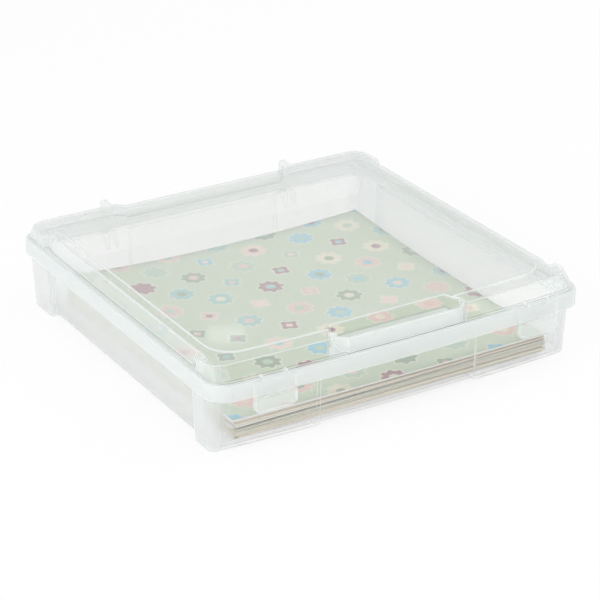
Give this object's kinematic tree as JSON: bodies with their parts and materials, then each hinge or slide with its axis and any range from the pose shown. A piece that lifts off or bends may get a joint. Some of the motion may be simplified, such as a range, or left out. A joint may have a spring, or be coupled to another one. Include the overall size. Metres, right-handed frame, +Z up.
{
  "type": "paper storage case",
  "caption": "Flat square case in translucent plastic with a hinged lid, pull-down latches, finger pocket, stacking feet and a stack of printed sheets.",
  "frame": {"origin": "centre of the outline's bounding box, on the plane that the feet stand on", "axes": "+X to the right seen from the front, +Y from the latches to the hinges, +Z up"},
  "size_m": [0.36, 0.3684, 0.0782],
  "materials": {
    "case_plastic": "translucent natural polypropylene, satin",
    "lid_plastic": "translucent natural polypropylene, satin",
    "latch_plastic": "translucent natural polypropylene, satin",
    "printed_paper": "smooth printed card in pale sage green with rings",
    "paper_cream": "uncoated card, cream",
    "paper_kraft": "uncoated card, tan",
    "paper_white": "uncoated card, white",
    "paper_green": "uncoated card, grey green"
  },
  "bodies": {
    "tray": {"tray": "case_plastic", "paper_pack_01": "paper_cream", "paper_pack_02": "paper_kraft", "paper_pack_03": "paper_white", "paper_pack_04": "paper_green", "paper_pack_05": "paper_cream", "paper_pack_06": "paper_kraft", "paper_pack_07": "paper_white", "paper_pack_08": "paper_green", "paper_pack_09": "paper_cream", "paper_pack_10": "paper_kraft", "paper_pack_11": "paper_white", "paper_top_sheet": "printed_paper"},
    "lid": {"lid": "lid_plastic"},
    "latch_left": {"latch_left": "latch_plastic"},
    "latch_right": {"latch_right": "latch_plastic"}
  },
  "joints": [
    {"name": "lid_hinge", "type": "hinge", "parent": "tray", "child": "lid", "pos_m": [0, 0.17935, 0.051], "axis": [-1, 0, 0], "range_deg": [0, 180]},
    {"name": "latch_left_hinge", "type": "hinge", "parent": "lid", "child": "latch_left", "pos_m": [-0.1275, -0.17935, 0.0671], "axis": [-1, 0, 0], "range_deg": [0, 100]},
    {"name": "latch_right_hinge", "type": "hinge", "parent": "lid", "child": "latch_right", "pos_m": [0.1275, -0.17935, 0.0671], "axis": [-1, 0, 0], "range_deg": [0, 100]}
  ]
}
